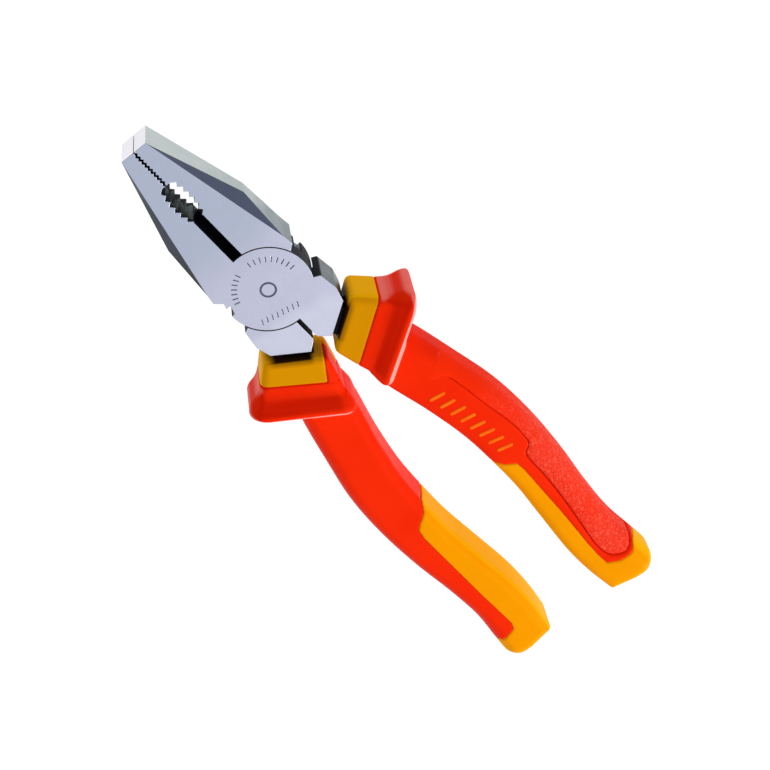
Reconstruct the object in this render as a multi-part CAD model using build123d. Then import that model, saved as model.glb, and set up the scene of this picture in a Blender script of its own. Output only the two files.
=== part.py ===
from build123d import *
import os

# Lineman (combination) pliers with two-colour insulated grips, jaws closed.
# Millimetres. The pivot axis is Z, the jaws point along +Y, and the head's lower
# face is at z = 0. Each lever is a jaw, a half-thickness joint disc, a neck on
# the other side, and a tang inside its grip. One lever is the other turned half a
# turn about the Y axis through mid-thickness, but for half a pitch in the fine teeth
# and the marks engraved on the upper one.

# ---- driving dimensions -------------------------------------------------------
HEAD_THICKNESS = 11.0
JOINT_RADIUS = 12.15      # the round lap joint
JOINT_GAP = 0.3           # around each joint disc, to the other lever
LAP_GAP = 0.1             # between the two joint discs
JAW_GAP = 0.05            # between the closed jaws
NECK_GAP = 1.3            # between the two necks, jaws closed

RIVET_RADIUS = 4.0
RIVET_RUNNING_FIT = 0.05  # radial clearance in the lever that turns on the rivet
RIVET_HEAD_RADIUS = 5.0   # countersunk ends, flush with the head's faces
RIVET_HEAD_DEPTH = 1.0

# Right jaw, seen from above: nose, knee and heel of the outer side.
NOSE = (3.9, 51.0)
KNEE = (12.6, 24.3)
HEEL = (12.9, 9.1)
HEEL_CORNER = (13.3, 6.2)
HEEL_STOP = (11.2, 4.4)
KNEE_SIDE_HEIGHT = 5.4    # what the long bevels leave of the side at the knee

FINE_TOOTH_PITCH = 1.1
FINE_TOOTH_DEPTH = 0.5
FINE_TEETH_Y = (39.2, 50.2)
FINE_TEETH_GAP = 0.12     # from the jaws' middle plane to each row's tips
UPPER_TEETH_OFFSET = 0.0  # of each lever's fine teeth along the jaw, in pitches
LOWER_TEETH_OFFSET = 0.5
PIPE_GRIP_Y = (27.3, 39.2)
PIPE_GRIP_END_OPENING = 1.3   # half opening at the ends of the oval
PIPE_GRIP_MID_OPENING = 2.3   # half opening at its middle, over the teeth
PIPE_TOOTH_COUNT = 6
PIPE_TOOTH_DEPTH = 1.0
CUTTER_HALF_SLOT = 1.6
CUTTER_BEVEL_DEPTH = 2.6  # below the head's mid-plane, where each blade's bevel starts

# Grips. Right lever, seen from above.
GRIP_HALF_THICKNESS = 8.0
GRIP_EDGE_RADIUS = 3.2
GRIP_OUTER = [(17.2, -31.6), (20.1, -38.6), (23.5, -52.4), (26.8, -67.7), (28.0, -83.2),
              (27.6, -99.4), (26.2, -114.8), (25.7, -128.0), (26.9, -140.0), (28.0, -151.2)]
GRIP_INNER = [(4.4, -38.0), (5.5, -45.0), (8.8, -58.3), (11.1, -72.2), (11.9, -85.1),
              (11.9, -96.6), (10.9, -109.0), (9.6, -125.3), (9.9, -137.0), (11.2, -147.5)]
TIP_ROUNDING = 4.8        # outer corner of the handle's end
TIP_CORNER_ROUNDING = 1.0  # its inner corner
COLLAR_FRONT = ((1.2, -25.8), (15.0, -15.4))   # inner and outer side
COLLAR_BACK = ((3.1, -33.7), (20.6, -20.8))
# The finger guard behind the collar, in sections from front to back: inner side,
# outer side, half thickness and corner radius.
GUARD_SECTIONS = [(*COLLAR_BACK, 7.3, 2.6),
                  ((4.1, -37.4), (23.4, -22.8), 7.7, 3.0),
                  ((4.3, -40.2), (26.9, -24.2), 9.2, 3.8),
                  ((4.5, -42.8), (28.4, -25.9), 10.4, 4.4),
                  ((4.9, -45.0), (27.6, -28.4), 10.1, 4.2)]
STRIP_TOP = 2.0           # of the grip beside the collar, from mid-thickness
SKIN = 2.2                # thickness of the outer grip over the sleeve
TANG_WIDTH = 7.6
TANG_THICKNESS = 6.6
TANG_END_Y = -132.0

# The soft pad let into one face of each grip and round its outer side, and the
# raised bars beside it. That is the upper face on the right lever.
PAD_DEPTH = 2.0
PAD_SIDE_LOW = -3.0       # how far down the outer side it reaches, from mid-thickness
PAD_EDGE = [(14.6, -48.6), (16.0, -50.3), (19.4, -51.8), (20.8, -57.2), (22.0, -65.0),
            (23.6, -74.2), (24.1, -80.5), (23.6, -85.2), (20.8, -88.2), (20.6, -97.5),
            (19.8, -109.0), (18.4, -121.0), (17.6, -128.5), (18.4, -134.2), (21.8, -136.9),
            (25.2, -136.5), (29.5, -132.8)]
BAR_COUNT = 8
BAR_LENGTH = 5.0
BAR_WIDTH = 1.3
BAR_DEPTH = 1.0
BAR_SLANT = 20.0          # degrees from square across the row
BAR_ROW = [(13.7, -55.0), (15.5, -64.0), (16.9, -73.0), (17.8, -81.5)]

# Where the sleeve shows along the inner side and at the tip, on each face.
INSET_PADDED = [(8.0, -81.5), (11.7, -83.6), (14.2, -86.4), (17.0, -88.4), (17.4, -91.0),
                (17.2, -99.0), (16.8, -112.9), (16.0, -127.0), (15.9, -132.2),
                (16.2, -136.6), (19.5, -138.7), (24.1, -139.0), (27.0, -136.6),
                (28.5, -132.9), (33.0, -129.0)]
INSET_PLAIN = [(8.0, -76.5), (11.2, -80.8), (13.2, -84.4), (16.0, -86.3), (17.9, -88.0),
               (18.5, -91.5), (18.6, -104.5), (18.7, -120.0), (18.5, -135.5),
               (19.4, -137.9), (24.2, -139.7), (33.0, -139.9)]

# Engraved marks on the upper joint disc: an arc of strokes, a ring and a row.
ENGRAVING_DEPTH = 0.15
STROKE_WIDTH = 0.28
ARC_STROKES = [(165, 112, 7), (84, 6, 9)]    # first and last angle, how many
ARC_STROKE_RADII = (8.1, 9.7)
SIZE_RING_RADII = (1.7, 2.3)
ROW_STROKES = 8
ROW_START = (-7.4, -6.4)
ROW_END = (3.0, -8.4)
ROW_STROKE_LENGTH = 1.7

MID_Z = HEAD_THICKNESS / 2
FAR = 200.0               # longer than any cut it is used for


# ---- small helpers ------------------------------------------------------------
def plate(points, low, high):
    """A straight-sided outline, extruded from z = low to z = high."""
    outline = make_face(Polyline(*points, close=True))
    return Pos(0, 0, low) * extrude(outline, amount=high - low)


def disc(radius, low, high):
    return Pos(0, 0, low) * extrude(Circle(radius), amount=high - low)


def other_lever(shape):
    """The same piece of the other lever: half a turn about the Y axis."""
    return Rot(0, 180, 0) * shape


# ---- jaw ----------------------------------------------------------------------
def long_bevel(side):
    """What the bevel on the jaw's outer edge takes away, above or below."""
    nose = Vector(*NOSE, side * MID_Z)
    knee = Vector(*KNEE, side * KNEE_SIDE_HEIGHT / 2)
    heel = Vector(*HEEL, side * MID_Z)
    normal = (knee - nose).cross(heel - nose).normalized()
    if normal.Z * side < 0:
        normal = -normal
    cut = Plane(origin=knee, x_dir=heel - nose, z_dir=normal)
    return extrude(cut * Rectangle(FAR, FAR), amount=FAR / 4)


def fine_teeth(offset):
    """The row of V grooves across the flat of the right jaw, and the flat ahead of
    them. The offset, in pitches, lets one jaw's teeth face the other's grooves."""
    low, high = FINE_TEETH_Y
    count = round((high - low) / FINE_TOOTH_PITCH)
    points = [(-1, low)]
    if offset > 0:
        points.append((FINE_TEETH_GAP, low))
    for i in range(count):
        y = low + (i + offset) * FINE_TOOTH_PITCH
        points.append((FINE_TEETH_GAP, y))
        points.append((FINE_TEETH_GAP + FINE_TOOTH_DEPTH, y + FINE_TOOTH_PITCH / 2))
    last = points[-1][1] + FINE_TOOTH_PITCH / 2
    points += [(FINE_TEETH_GAP, last), (FINE_TEETH_GAP, NOSE[1] + 1), (-1, NOSE[1] + 1)]
    return plate(points, -MID_Z, MID_Z)


def pipe_grip():
    """The oval hole's half in the right jaw, with coarse teeth along its arc."""
    low, high = PIPE_GRIP_Y
    middle = (low + high) / 2
    rise = PIPE_GRIP_MID_OPENING - PIPE_GRIP_END_OPENING
    points = [(-1, low), (PIPE_GRIP_END_OPENING, low)]
    pitch = (high - low) / PIPE_TOOTH_COUNT
    for i in range(PIPE_TOOTH_COUNT):
        for share, depth in ((0.55, PIPE_TOOTH_DEPTH), (1.0, 0.0)):
            y = low + (i + share) * pitch
            bow = 1 - ((y - middle) / (high - middle)) ** 2
            points.append((PIPE_GRIP_END_OPENING + rise * bow + depth, y))
    points.append((-1, high))
    return plate(points, -MID_Z, MID_Z)


def cutter_slot():
    """The slot beside the right blade: upright walls, then a bevel to its edge."""
    edge = JAW_GAP / 2
    section = [(-1, MID_Z), (CUTTER_HALF_SLOT, MID_Z), (CUTTER_HALF_SLOT, CUTTER_BEVEL_DEPTH),
               (edge, 0), (CUTTER_HALF_SLOT, -CUTTER_BEVEL_DEPTH),
               (CUTTER_HALF_SLOT, -MID_Z), (-1, -MID_Z)]
    face = make_face(Plane.XZ * Polyline(*section, close=True))
    return extrude(face, amount=PIPE_GRIP_Y[0], dir=(0, 1, 0))


def right_jaw(teeth_offset):
    """Full thickness, running into where the joint disc is."""
    inner = JAW_GAP / 2
    outline = [(inner, NOSE[1]), NOSE, KNEE, HEEL, HEEL_CORNER, HEEL_STOP,
               (8.0, 3.2), (inner, 3.2)]
    jaw = plate(outline, -MID_Z, MID_Z)
    jaw -= long_bevel(1) + long_bevel(-1)
    jaw -= fine_teeth(teeth_offset)
    jaw -= pipe_grip()
    return jaw - cutter_slot()


# ---- neck and tang -------------------------------------------------------------
def right_neck():
    """From the joint disc to the collar of the right grip, full thickness."""
    slot = NECK_GAP / 2
    outline = [(9.0, -4.1), (11.1, -5.0), (12.8, -5.8), (13.6, -11.4), (12.5, -15.7),
               (3.6, -22.0), (slot, -19.4), (slot, -9.0), (6.0, -4.0)]
    return plate(outline, -MID_Z, MID_Z)


def tang_line():
    """The middle of the right handle, from the neck to the tang's end."""
    middles = [((x1 + x2) / 2, (y1 + y2) / 2)
               for (x1, y1), (x2, y2) in zip(GRIP_INNER[1:-1], GRIP_OUTER[1:-1])]
    middles = [p for p in middles if p[1] > TANG_END_Y]
    return Spline((6.6, -16.5), (8.2, -25.0), *middles)


def right_tang():
    bar = extrude(trace(tang_line(), TANG_WIDTH), amount=TANG_THICKNESS / 2, both=True)
    return bar - plate([(-30, 60), (30, 60), (30, -12), (-30, -12)], -FAR, FAR)


# ---- levers and rivet -----------------------------------------------------------
def upper_lever(teeth_offset):
    """Left jaw, upper joint disc, right neck and tang."""
    lever = other_lever(right_jaw(teeth_offset)) + right_neck() + right_tang()
    lever -= disc(JOINT_RADIUS + JOINT_GAP, -MID_Z, LAP_GAP / 2)
    lever += disc(JOINT_RADIUS, LAP_GAP / 2, MID_Z)
    return lever - heel_relief()


def heel_relief():
    """The small notch between the joint disc and the heel of the lever's own jaw."""
    return plate([(-13.0, 2.9), (-10.5, 2.9), (-11.1, 0.3), (-13.0, 0.3)], LAP_GAP / 2, MID_Z)


def stroke(length, width, x, y, angle):
    """One engraved stroke, cut down from the head's upper face."""
    flat = Pos(x, y) * Rot(0, 0, angle) * Rectangle(length, width)
    return Pos(0, 0, MID_Z - ENGRAVING_DEPTH) * extrude(flat, amount=2 * ENGRAVING_DEPTH)


def engraving():
    """Plain strokes on the upper joint disc, with no lettering."""
    inner, outer = ARC_STROKE_RADII
    middle = (inner + outer) / 2
    marks = []
    for first, last, count in ARC_STROKES:
        for i in range(count):
            angle = first + (last - first) * i / (count - 1)
            place = Vector(middle, 0).rotate(Axis.Z, angle)
            marks.append(stroke(outer - inner, STROKE_WIDTH, place.X, place.Y, angle))
    start = Vector(*ROW_START)
    step = (Vector(*ROW_END) - start) * (1 / (ROW_STROKES - 1))
    for i in range(ROW_STROKES):
        place = start + step * i
        marks.append(stroke(ROW_STROKE_LENGTH, STROKE_WIDTH, place.X, place.Y, 65))
    return marks


def size_ring():
    """The ring engraved at the middle of the rivet's upper end."""
    inner, outer = SIZE_RING_RADII
    ring = Circle(outer) - Circle(inner)
    return Pos(0, 0, MID_Z - ENGRAVING_DEPTH) * extrude(ring, amount=2 * ENGRAVING_DEPTH)


def rivet_profile(clearance):
    """Half of the rivet's section: a shank between two countersunk ends."""
    shank = RIVET_RADIUS + clearance
    head = RIVET_HEAD_RADIUS + clearance
    neck_z = MID_Z - RIVET_HEAD_DEPTH
    return [(0, -MID_Z), (head, -MID_Z), (shank, -neck_z), (shank, neck_z),
            (head, MID_Z), (0, MID_Z)]


def rivet(clearance=0.0):
    section = make_face(Plane.XZ * Polyline(*rivet_profile(clearance), close=True))
    return revolve(section, Axis.Z)


# ---- grips ------------------------------------------------------------------------
def section_between(inner, outer, half_thickness, radius):
    """A rounded upright section of the handle, from its inner to its outer side."""
    a = Vector(*inner, 0)
    b = Vector(*outer, 0)
    across = b - a
    place = Plane(origin=(a + b) * 0.5, x_dir=across, z_dir=across.cross(Vector(0, 0, 1)))
    return place * RectangleRounded(across.length, 2 * half_thickness, radius)


def collar():
    """The short block at the neck, where the sleeve shows."""
    front = section_between(*COLLAR_FRONT, 7.0, 2.0)
    back = section_between(*COLLAR_BACK, 7.3, 2.6)
    return loft([front, back], ruled=True)


def guard():
    """The finger guard: a hollow flare behind the collar, up to a rounded rim."""
    return loft([section_between(*each) for each in GUARD_SECTIONS])


def handle():
    """The long curved part of the grip, from inside the guard to the tip."""
    outer = Spline(*GRIP_OUTER)
    inner = Spline(*GRIP_INNER)
    end = Line(GRIP_OUTER[-1], GRIP_INNER[-1])
    start = Line(GRIP_INNER[0], GRIP_OUTER[0])
    outline = make_face(Curve() + [outer, end, inner, start])
    tip = outline.vertices().sort_by(Axis.Y)[0]
    outline = fillet(tip, TIP_ROUNDING)
    corner = outline.vertices().sort_by_distance(GRIP_INNER[-1])[0]
    outline = fillet(corner, TIP_CORNER_ROUNDING)
    body = extrude(outline, amount=GRIP_HALF_THICKNESS, both=True)
    rims = body.faces().filter_by(Axis.Z)
    return fillet(rims.edges(), GRIP_EDGE_RADIUS)


def inset_zone():
    """Where the sleeve shows along the inner side and at the tip."""
    around = [(33.0, -160.0), (2.0, -160.0)]
    return plate(INSET_PADDED + around, 0, FAR) + plate(INSET_PLAIN + around, -FAR, 0)


def core():
    """The sleeve where the outer grip covers it."""
    half = TANG_THICKNESS / 2 + SKIN
    return extrude(trace(tang_line(), TANG_WIDTH + 2 * SKIN), amount=half, both=True)


def pad_zone():
    """The pad runs from its edge line over the grip's outer side and down it."""
    line = Spline(*PAD_EDGE)
    around = Polyline(PAD_EDGE[-1], (34.0, -128.0), (34.0, -46.0), (20.0, -46.0), PAD_EDGE[0])
    outline = make_face(Curve() + [line, around])
    bottom = GRIP_HALF_THICKNESS - PAD_DEPTH
    face_part = Pos(0, 0, bottom) * extrude(outline, amount=FAR)
    inner = [(x - PAD_DEPTH, y) for x, y in GRIP_OUTER[1:-1]]
    back = Polyline(inner[-1], (40.0, inner[-1][1]), (40.0, inner[0][1]), inner[0])
    beside = make_face(Curve() + [Spline(*inner), back])
    side_part = extrude(outline & beside, amount=bottom - PAD_SIDE_LOW)
    return face_part + Pos(0, 0, PAD_SIDE_LOW) * side_part


def bars():
    """A row of slanted bars along the grip, standing a little out of its face."""
    row = Spline(*BAR_ROW)
    bottom = GRIP_HALF_THICKNESS - BAR_DEPTH
    found = []
    for i in range(BAR_COUNT):
        share = i / (BAR_COUNT - 1)
        along = row % share
        angle = Vector(1, 0).get_signed_angle(along, Vector(0, 0, 1))
        flat = SlotOverall(BAR_LENGTH, BAR_WIDTH)
        flat = Pos(row @ share) * Rot(0, 0, angle + 90 - BAR_SLANT) * flat
        found.append(Pos(0, 0, bottom) * extrude(flat, amount=BAR_DEPTH + 0.15))
    return found


def inner_side_strip():
    """Where the outer grip runs forward beside the collar, on its inner side and a
    little of its plain face."""
    return plate([COLLAR_FRONT[0], (1.9, -25.3), (5.9, -31.7), COLLAR_BACK[0], (-3.0, -33.7),
                  (-3.0, -20.0)], -FAR, STRIP_TOP)


def right_grip_pieces():
    """The sleeve, outer grip, pad and bars of the right handle."""
    rest = guard() + handle()
    strip = collar() & inner_side_strip()
    sleeve = (collar() - inner_side_strip()) + (rest & core()) + (rest & inset_zone())
    grip = rest - core() - inset_zone() + strip
    pad = grip & pad_zone()
    grip = grip - pad_zone()
    for bar in bars():
        grip -= bar
    return {"sleeve": sleeve - right_tang(), "grip": grip - right_tang(), "pad": pad,
            "bars": Compound(bars())}


# ---- write the pieces ----------------------------------------------------------------
def main():
    os.makedirs("parts", exist_ok=True)
    upper = upper_lever(UPPER_TEETH_OFFSET) - rivet()
    for mark in engraving():
        upper -= mark
    pieces = {
        "upper_lever": upper,
        "lower_lever": other_lever(upper_lever(LOWER_TEETH_OFFSET)) - rivet(RIVET_RUNNING_FIT),
        "pivot_rivet": rivet() - size_ring(),
    }
    for name, piece in right_grip_pieces().items():
        pieces[f"right_{name}"] = piece
        pieces[f"left_{name}"] = other_lever(piece)
    for name, piece in pieces.items():
        export_step(Pos(0, 0, MID_Z) * piece, f"parts/{name}.step")


main()
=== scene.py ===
import math

import bpy
import numpy as np
from mathutils import Matrix, Vector


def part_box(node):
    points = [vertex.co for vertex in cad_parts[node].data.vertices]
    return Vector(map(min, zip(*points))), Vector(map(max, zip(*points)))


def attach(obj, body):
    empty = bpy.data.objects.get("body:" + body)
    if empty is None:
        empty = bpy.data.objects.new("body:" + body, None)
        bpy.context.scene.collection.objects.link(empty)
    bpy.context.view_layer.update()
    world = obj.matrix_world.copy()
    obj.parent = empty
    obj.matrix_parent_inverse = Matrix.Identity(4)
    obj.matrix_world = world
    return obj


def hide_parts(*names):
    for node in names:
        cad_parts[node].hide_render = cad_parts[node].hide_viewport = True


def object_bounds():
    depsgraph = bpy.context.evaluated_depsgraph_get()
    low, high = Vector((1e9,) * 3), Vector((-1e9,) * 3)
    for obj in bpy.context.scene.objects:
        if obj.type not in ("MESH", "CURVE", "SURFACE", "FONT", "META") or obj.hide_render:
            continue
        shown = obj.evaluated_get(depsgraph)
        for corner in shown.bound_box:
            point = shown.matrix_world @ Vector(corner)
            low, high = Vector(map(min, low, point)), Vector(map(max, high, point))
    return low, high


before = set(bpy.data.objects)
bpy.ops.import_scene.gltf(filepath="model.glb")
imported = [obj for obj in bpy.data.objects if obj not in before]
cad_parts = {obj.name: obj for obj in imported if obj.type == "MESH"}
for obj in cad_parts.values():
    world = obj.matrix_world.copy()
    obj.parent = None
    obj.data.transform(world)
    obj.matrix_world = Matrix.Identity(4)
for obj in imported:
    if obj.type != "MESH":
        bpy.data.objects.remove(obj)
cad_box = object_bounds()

# Lineman pliers with two-colour insulated grips. The steel is the CAD's own, with
# new materials. The grips are remodelled as distance fields, in millimetres, for
# the right lever seen from above with z = 0 at mid-thickness, then meshed. The left
# lever's pieces are the same ones turned half a turn about the Y axis.

MM = 0.001
MID_Z = (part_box("pivot_rivet")[0].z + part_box("pivot_rivet")[1].z) / 2 / MM

# ---- shape of the right grip ----------------------------------------------------
PITCH = 0.35                 # of the grid that the grips are meshed on
GRID_LOW = (-0.6, -151.6, -11.4)
GRID_HIGH = (29.6, -14.4, 11.4)

HALF_THICKNESS = 8.0
EDGE_RADIUS = 3.2
OUTER_EDGE_RADIUS = 5.8      # on the side that lies in the palm
CROWN = 0.12                 # the faces' fall from their middle to their edges
GRIP_OUTER = [(17.2, -31.6), (20.1, -38.6), (23.5, -52.4), (26.8, -67.7), (28.0, -83.2),
              (27.6, -99.4), (26.2, -114.8), (25.7, -128.0), (26.9, -140.0), (28.0, -151.2)]
GRIP_INNER = [(4.2, -38.0), (5.2, -45.0), (8.4, -58.3), (10.8, -72.2), (11.6, -85.1),
              (11.7, -96.6), (10.8, -109.0), (9.6, -125.3), (9.9, -137.0), (11.2, -147.5)]
TIP_ROUNDING = 4.8
TIP_CORNER_ROUNDING = 1.0
OUTER_CUT = 7.5              # left out of each side's curve, for the tip's arcs
INNER_CUT = 2.0
OUTER_LEAD = -8              # the points of the curves that lead into those arcs
INNER_LEAD = -5

# Sections of the collar and the finger guard, front to back: inner side, outer
# side, half-thickness and corner radius.
SECTIONS = [((1.2, -25.8), (15.0, -15.4), 7.0, 2.0),
            ((3.1, -33.7), (20.6, -20.8), 7.3, 2.6),
            ((4.1, -37.4), (23.5, -22.8), 7.3, 2.8),
            ((4.3, -40.2), (26.9, -24.2), 9.0, 3.8),
            ((4.5, -42.8), (28.4, -25.9), 10.4, 4.4),
            ((4.9, -45.0), (27.6, -28.4), 10.1, 4.2)]
COLLAR_SECTION = 1           # where the sleeve's collar ends and the guard begins
SECTION_STEPS = 40           # between one section and the next
FRONT_ROUNDING = 1.6         # of the collar's front edge
REAR_ROUNDING = (4.2, 2.4)   # of the guard's rear edge, at its inner and outer ends
GUARD_BLEND = 0.8            # between the guard and the handle

CORE_LINE_START = [(6.6, -16.5), (8.2, -25.0)]
CORE_HALF_WIDTH = 6.0        # of the sleeve under the outer grip
CORE_HALF_THICKNESS = 5.5
CORE_EDGE_RADIUS = 1.0
TANG_HALF_WIDTH = 3.8
TANG_HALF_THICKNESS = 3.3
TANG_EDGE_RADIUS = 0.1
TANG_CLEARANCE = 0.05
TANG_END_Y = -132.0

# Where the sleeve shows along the inner side and at the tip, on the padded face and
# on the plain face.
INSET_PADDED = [(8.0, -81.5), (11.7, -83.6), (14.2, -86.4), (17.0, -88.4), (17.4, -91.0),
                (17.2, -99.0), (16.8, -112.9), (16.0, -127.0), (15.9, -132.2),
                (16.2, -136.6), (19.5, -138.7), (24.1, -139.0), (27.0, -136.6),
                (28.5, -132.9), (33.0, -129.0), (33.0, -160.0), (2.0, -160.0)]
INSET_PLAIN = [(8.0, -76.5), (11.2, -80.8), (13.2, -84.4), (16.0, -86.3), (17.9, -88.0),
               (18.5, -91.5), (18.6, -104.5), (18.7, -120.0), (18.5, -135.5),
               (19.4, -137.9), (24.2, -139.7), (33.0, -139.9),
               (33.0, -160.0), (2.0, -160.0)]

# Where the red grip runs forward along the collar's inner side, and the top of that.
STRIP = [(1.2, -25.8), (1.9, -25.3), (5.9, -31.7), (3.1, -33.7), (-3.0, -33.7), (-3.0, -20.0)]
STRIP_TOP = 2.0

PAD_DEPTH = 2.0
PAD_SIDE_LOW = -3.0          # how far down the outer side the pad reaches
PAD_EDGE = [(14.6, -48.6), (16.0, -50.3), (19.4, -51.8), (20.8, -57.2), (22.0, -65.0),
            (23.6, -74.2), (24.1, -80.5), (23.6, -85.2), (20.8, -88.2), (20.6, -97.5),
            (19.8, -109.0), (18.4, -121.0), (17.6, -128.5), (18.4, -134.2), (21.8, -136.9),
            (25.2, -136.5), (29.5, -132.8)]
PAD_BACK = [(34.0, -128.0), (34.0, -46.0), (20.0, -46.0)]

SEAM_ROUNDING = 0.5          # of the edges where two colours meet
SEAM_GAP = 0.02
PAD_GROOVE = [(-96.0, 1.1), (-84.0, 0.7), (-58.0, 0.35), (-50.5, 0.15)]   # Y and rounding
PAD_LAP_FADE = (-52.5, -50.5)    # ahead of these Y the red grip runs on under the pad
PAD_LAP = 0.8                # how far it runs
PAD_LAP_SINK = 0.03          # how far under
PAD_LAP_EDGE = 0.2           # where it has sunk so far, from the pad's edge

BAR_COUNT = 8
BAR_LENGTH = 5.0
BAR_WIDTH = 1.3
BAR_HEIGHT = 1.15
BAR_SINK = 1.0               # of that height, below the face
BAR_SLANT = 20.0             # degrees from square across the row
BAR_EDGE = 0.45              # rounding
BAR_PITCH = 0.13             # of the grid that a bar is meshed on
BAR_MARGIN = 0.4             # of that grid, around the bar
BAR_ROW = [(13.7, -55.0), (15.5, -64.0), (16.9, -73.0), (17.8, -81.5)]


# ---- distance fields ------------------------------------------------------------
def smooth_curve(points, steps=12):
    """Points on a Catmull-Rom curve through the given ones."""
    p = np.array(points, float)
    p = np.vstack([2 * p[0] - p[1], p, 2 * p[-1] - p[-2]])
    t = np.arange(steps)[:, None] / steps
    out = []
    for a, b, c, d in zip(p, p[1:], p[2:], p[3:]):
        out.append(0.5 * (2 * b + (c - a) * t + (2 * a - 5 * b + 4 * c - d) * t ** 2
                          + (3 * b - a - 3 * c + d) * t ** 3))
    return np.vstack(out + [p[-2:-1]])


def rounded_corner(before, corner, after, radius, steps=12):
    """The points of an arc that rounds a corner of an outline."""
    a, c, b = (np.array(p, float) for p in (before, corner, after))
    u, v = (a - c) / np.linalg.norm(a - c), (b - c) / np.linalg.norm(b - c)
    half = math.acos(float(u @ v)) / 2
    bisector = (u + v) / np.linalg.norm(u + v)
    centre = c + bisector * radius / math.sin(half)
    start = c + u * radius / math.tan(half) - centre
    end = c + v * radius / math.tan(half) - centre
    sweep = math.pi - 2 * half
    share = np.linspace(0, 1, steps)[:, None]
    return centre + (np.sin((1 - share) * sweep) * start + np.sin(share * sweep) * end) \
        / math.sin(sweep)


def handle_outline():
    outer, inner = smooth_curve(GRIP_OUTER), smooth_curve(GRIP_INNER)
    tip, corner = GRIP_OUTER[-1], GRIP_INNER[-1]
    return np.vstack([outer[outer[:, 1] > tip[1] + OUTER_CUT],
                      rounded_corner(outer[OUTER_LEAD], tip, corner, TIP_ROUNDING),
                      rounded_corner(tip, corner, inner[INNER_LEAD], TIP_CORNER_ROUNDING),
                      inner[inner[:, 1] > corner[1] + INNER_CUT][::-1]])


def line_distance(points, x, y):
    """Distance in plan from a run of straight pieces."""
    best = np.full(x.shape, np.inf)
    for (ax, ay), (bx, by) in zip(points, points[1:]):
        ex, ey = bx - ax, by - ay
        t = np.clip(((x - ax) * ex + (y - ay) * ey) / (ex * ex + ey * ey), 0, 1)
        best = np.minimum(best, (x - ax - t * ex) ** 2 + (y - ay - t * ey) ** 2)
    return np.sqrt(best)


def outline_distance(points, x, y):
    """Signed distance in plan from a closed outline, negative inside."""
    ring = np.vstack([points, points[:1]])
    inside = np.zeros(x.shape, bool)
    for (ax, ay), (bx, by) in zip(ring, ring[1:]):
        if ay != by:
            crosses = (ay > y) != (by > y)
            inside ^= crosses & (x < (bx - ax) * (y - ay) / (by - ay) + ax)
    distance = line_distance(ring, x, y)
    return np.where(inside, -distance, distance)


def smooth_max(a, b, size):
    share = np.clip(0.5 + 0.5 * (a - b) / size, 0, 1)
    return b + (a - b) * share + size * share * (1 - share)


def smooth_min(a, b, size):
    return -smooth_max(-a, -b, size)


def rounded_box(u, v, radius):
    """Distance from a rounded corner, given the distances from its two sides."""
    p, q = u + radius, v + radius
    return np.hypot(np.maximum(p, 0), np.maximum(q, 0)) + np.minimum(np.maximum(p, q), 0) - radius


class Plan:
    """The grid that a piece is modelled on, with each column's place in plan."""

    def __init__(self, low, high, pitch):
        self.low, self.pitch = np.array(low, float), pitch
        counts = [int(math.ceil((b - a) / pitch)) + 1 for a, b in zip(low, high)]
        axes = [a + pitch * np.arange(n) for a, n in zip(low, counts)]
        self.x, self.y = np.meshgrid(axes[0], axes[1], indexing="ij")
        self.z = axes[2][None, None, :]


def section_position(plan):
    """For each column: the section it lies in, counted from the collar's front, and
    its places across that section and the section's own sizes."""
    knots = np.array([(*a, *b, h, r) for a, b, h, r in SECTIONS])
    rows = smooth_curve(knots, SECTION_STEPS)
    collar = np.linspace(knots[0], knots[COLLAR_SECTION], SECTION_STEPS + 1)
    rows[:SECTION_STEPS + 1] = collar
    a, b = rows[:, None, None, 0:2], rows[:, None, None, 2:4]
    across = b - a
    length = np.linalg.norm(across, axis=-1)
    p = np.stack([plan.x, plan.y], -1)[None]
    ahead = ((p[..., 1] - a[..., 1]) * across[..., 0]
             - (p[..., 0] - a[..., 0]) * across[..., 1]) / length
    last = len(rows) - 1
    past = np.where((ahead > 0).any(0), (ahead > 0).argmax(0), last).clip(1, last)
    i, j = np.indices(past.shape)
    d0, d1 = ahead[past - 1, i, j], ahead[past, i, j]
    share = np.clip(d0 / np.where(d0 == d1, 1, d0 - d1), 0, 1)
    row = rows[past - 1] * (1 - share[..., None]) + rows[past] * share[..., None]
    middle, half = (row[..., 0:2] + row[..., 2:4]) / 2, (row[..., 2:4] - row[..., 0:2]) / 2
    width = np.linalg.norm(half, axis=-1)
    place = (np.stack([plan.x, plan.y], -1) - middle) * half
    return {"across": place.sum(-1) / width, "width": width, "thickness": row[..., 4],
            "radius": row[..., 5], "front": ahead[0], "rear": -ahead[-1],
            "collar_end": -ahead[COLLAR_SECTION * SECTION_STEPS]}


def guard_field(plan, at):
    side = (np.abs(at["across"]) - at["width"])[..., None]
    face = np.abs(plan.z) - at["thickness"][..., None]
    field = rounded_box(side, face, at["radius"][..., None])
    field = smooth_max(field, at["front"][..., None], FRONT_ROUNDING)
    share = np.clip(0.5 + 0.5 * at["across"] / at["width"], 0, 1)
    rounding = REAR_ROUNDING[0] + (REAR_ROUNDING[1] - REAR_ROUNDING[0]) * share
    return smooth_max(field, at["rear"][..., None], rounding[..., None])


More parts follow.
